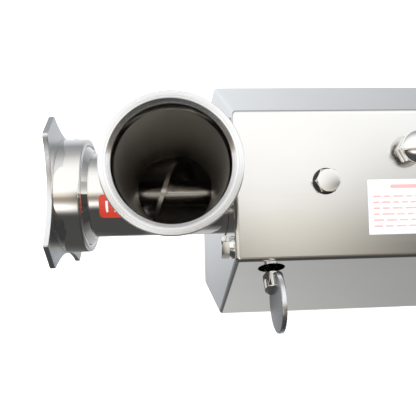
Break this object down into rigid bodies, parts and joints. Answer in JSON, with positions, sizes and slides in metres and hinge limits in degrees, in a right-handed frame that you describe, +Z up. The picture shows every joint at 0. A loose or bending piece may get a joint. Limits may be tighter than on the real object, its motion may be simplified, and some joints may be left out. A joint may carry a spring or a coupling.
{
  "type": "motor-driven fruit crusher",
  "caption": "Screw-feed fruit crusher: a stainless crushing head with an upright throat and eared ring nut, locked into the front of a cased gear motor.",
  "frame": {"origin": "on the table, under the middle of the machine, in the plane of the barrel axis", "axes": "+X from the outlet towards the back of the casing, +Z up; +Y is the side away from the operator"},
  "size_m": [0.599, 0.2848, 0.608],
  "materials": {
    "stainless_polished": "mirror polished stainless",
    "stainless_casing": "mirror polished stainless sheet",
    "stainless_satin": "satin stainless",
    "stainless_machined": "fine turned face",
    "bright_steel": "bright zinc plated",
    "gear_steel": "machined, oiled",
    "chrome_cap": "polished",
    "cast_iron": "cast, painted grey",
    "cast_aluminium": "die cast",
    "bronze": "machined",
    "copper_winding": "varnished wire",
    "painted_cowl": "powder coat",
    "black_rubber": "moulded",
    "black_plastic": "moulded",
    "nylon_white": "turned",
    "button_green": "moulded",
    "button_red": "moulded",
    "label_white": "printed film",
    "badge_red": "printed film"
  },
  "bodies": {
    "frame": {"head_socket": "cast_iron", "flange_washers": "bright_steel", "flange_bolts": "bright_steel", "gearbox_housing": "cast_iron", "gearbox_cover": "cast_iron", "cover_screws": "bright_steel", "output_seal": "black_rubber", "motor_seal": "black_rubber", "filler_plug": "bright_steel", "filler_washer": "black_rubber", "breather_base": "bright_steel", "breather_cap": "chrome_cap", "drain_plug": "bright_steel", "motor_housing": "cast_aluminium", "motor_front_shield": "cast_aluminium", "motor_rear_shield": "cast_aluminium", "stator_core": "gear_steel", "stator_windings": "copper_winding", "fan_cowl": "painted_cowl", "gearbox_stand": "painted_cowl", "motor_saddles": "painted_cowl", "casing_shell": "stainless_casing", "case_screws": "bright_steel", "base_plate": "stainless_satin", "rubber_feet": "black_rubber", "back_panel": "stainless_casing", "cable_gland": "black_plastic", "notice_label": "label_white", "switch_plate": "black_plastic", "output_front_bearing": "bright_steel", "output_rear_bearing": "bright_steel", "layshaft_bearings": "bright_steel", "motor_bearings": "bright_steel"},
    "head": {"barrel_tube": "stainless_polished", "front_flange": "stainless_polished", "plate_key_pin": "bright_steel", "feed_throat": "stainless_polished", "throat_rim": "stainless_machined", "back_wall": "stainless_satin", "screw_bush": "bronze", "crushing_plate": "stainless_satin", "barrel_badge": "badge_red"},
    "ring_nut": {"ring_nut": "stainless_polished", "ring_nut_ears": "stainless_satin"},
    "screw": {"feed_screw": "stainless_polished", "thrust_washer": "nylon_white", "screw_stud": "bright_steel", "crushing_knife": "stainless_satin"},
    "lock": {"lock_bolt": "bright_steel", "lock_disc": "stainless_satin"},
    "output": {"output_shaft": "gear_steel", "output_gear": "gear_steel", "output_key": "gear_steel"},
    "layshaft": {"layshaft": "gear_steel", "layshaft_gear": "gear_steel"},
    "rotor": {"motor_shaft": "gear_steel", "rotor_core": "gear_steel", "cooling_fan": "black_plastic"},
    "start_button": {"start_button": "button_green"},
    "stop_button": {"stop_button": "button_red"}
  },
  "joints": [
    {"name": "head_slide", "type": "slide", "parent": "frame", "child": "head", "axis": [-1, 0, 0], "range_m": [0, 0.15]},
    {"name": "ring_nut_turn", "type": "hinge", "parent": "head", "child": "ring_nut", "pos_m": [-0.27855, 0, 0.4], "axis": [-1, 0, 0], "range_deg": [0, 1080]},
    {"name": "screw_spin", "type": "hinge", "parent": "head", "child": "screw", "pos_m": [-0.19855, 0, 0.4], "axis": [1, 0, 0], "continuous": true},
    {"name": "lock_bolt_turn", "type": "hinge", "parent": "frame", "child": "lock", "pos_m": [-0.10465, -0.0719, 0.45822], "axis": [0, -0.7771, 0.6293], "range_deg": [0, 720]},
    {"name": "output_spin", "type": "hinge", "parent": "frame", "child": "output", "pos_m": [-0.04855, 0, 0.4], "axis": [1, 0, 0], "continuous": true},
    {"name": "layshaft_spin", "type": "hinge", "parent": "frame", "child": "layshaft", "pos_m": [-0.04855, 0, 0.33], "axis": [1, 0, 0], "continuous": true},
    {"name": "rotor_spin", "type": "hinge", "parent": "frame", "child": "rotor", "pos_m": [0.12145, 0, 0.282], "axis": [1, 0, 0], "continuous": true},
    {"name": "start_press", "type": "slide", "parent": "frame", "child": "start_button", "axis": [0, 0.9138, -0.4061], "range_m": [0, 0.004], "stiffness_N_per_m": 500},
    {"name": "stop_press", "type": "slide", "parent": "frame", "child": "stop_button", "axis": [0, 0.9138, -0.4061], "range_m": [0, 0.004], "stiffness_N_per_m": 500}
  ],
  "couplings": [
    {"joint": "layshaft_spin", "follows": "rotor_spin", "ratio": -0.33333},
    {"joint": "output_spin", "follows": "rotor_spin", "ratio": 0.13333},
    {"joint": "screw_spin", "follows": "rotor_spin", "ratio": 0.13333}
  ]
}
